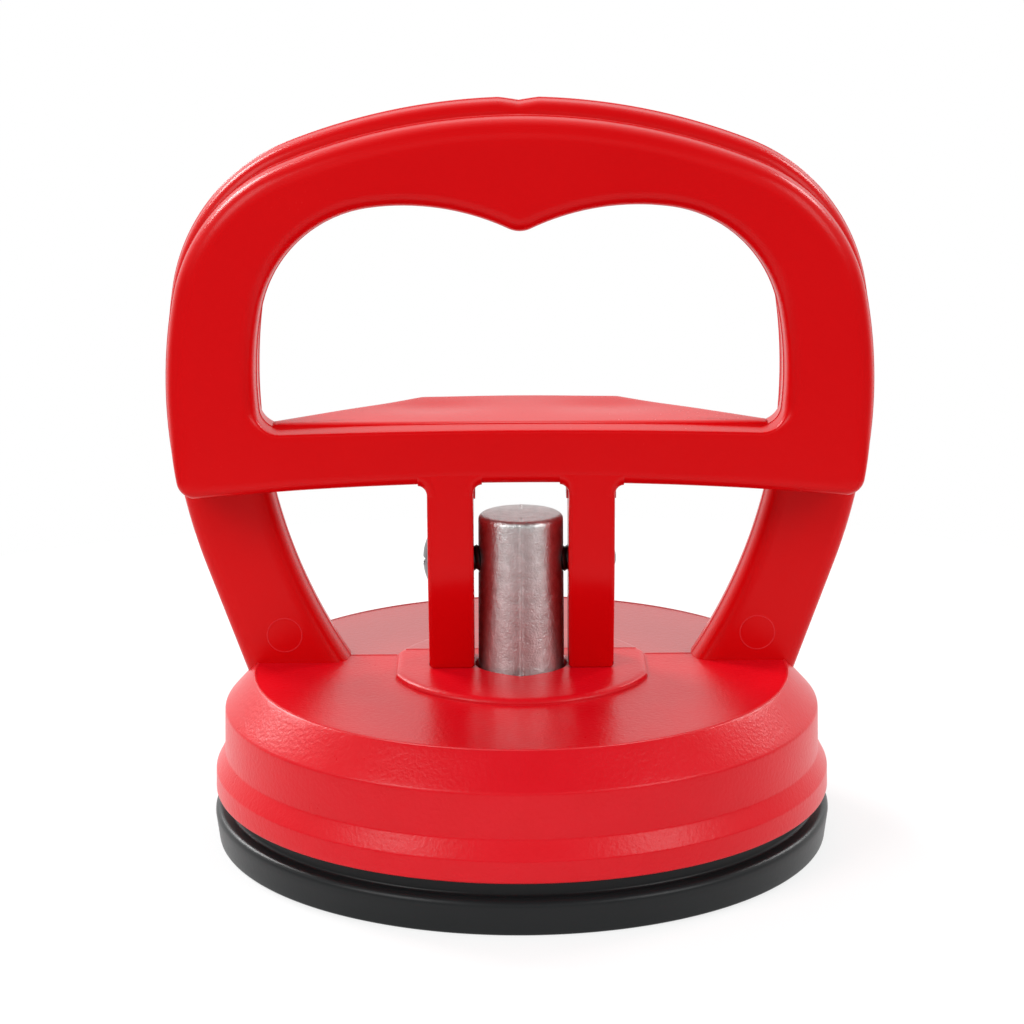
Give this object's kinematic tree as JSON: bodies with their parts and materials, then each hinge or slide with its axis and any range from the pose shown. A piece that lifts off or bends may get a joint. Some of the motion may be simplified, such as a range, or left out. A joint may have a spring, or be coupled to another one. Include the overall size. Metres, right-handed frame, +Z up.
{
  "type": "floor tile suction lifter",
  "caption": "Small lever-action suction lifter with a red moulded base and fixed grip, a red squeeze lever and a black rubber pad.",
  "frame": {"origin": "centre of the rubber pad's underside, on the surface that the part stands on", "axes": "+Z up out of that surface along the lift post; +X to the right seen from the lever's side, along the pivot screw towards its tip; -Y towards the lever"},
  "size_m": [0.0644, 0.057, 0.0673],
  "materials": {
    "red_moulding": "glossy",
    "black_rubber": "satin",
    "cast_metal": "satin",
    "plate_steel": "satin",
    "spring_steel": "satin",
    "screw_steel": "satin"
  },
  "bodies": {
    "base": {"base_housing": "red_moulding", "suction_pad": "black_rubber", "return_spring": "spring_steel"},
    "post": {"lift_post": "cast_metal", "pad_plate": "plate_steel"},
    "lever": {"squeeze_lever": "red_moulding", "pivot_screw": "screw_steel"}
  },
  "joints": [
    {"name": "post_lift", "type": "slide", "parent": "base", "child": "post", "axis": [0, 0, 1], "range_m": [-0.00252, 0], "deforming": ["suction_pad", "return_spring"]},
    {"name": "lever_tilt", "type": "hinge", "parent": "post", "child": "lever", "pos_m": [0, 0, 0.0257], "axis": [1, 0, 0], "range_deg": [0, 90]}
  ],
  "couplings": [
    {"joint": "post_lift", "follows": "lever_tilt", "m_per_rad": -0.0016}
  ]
}
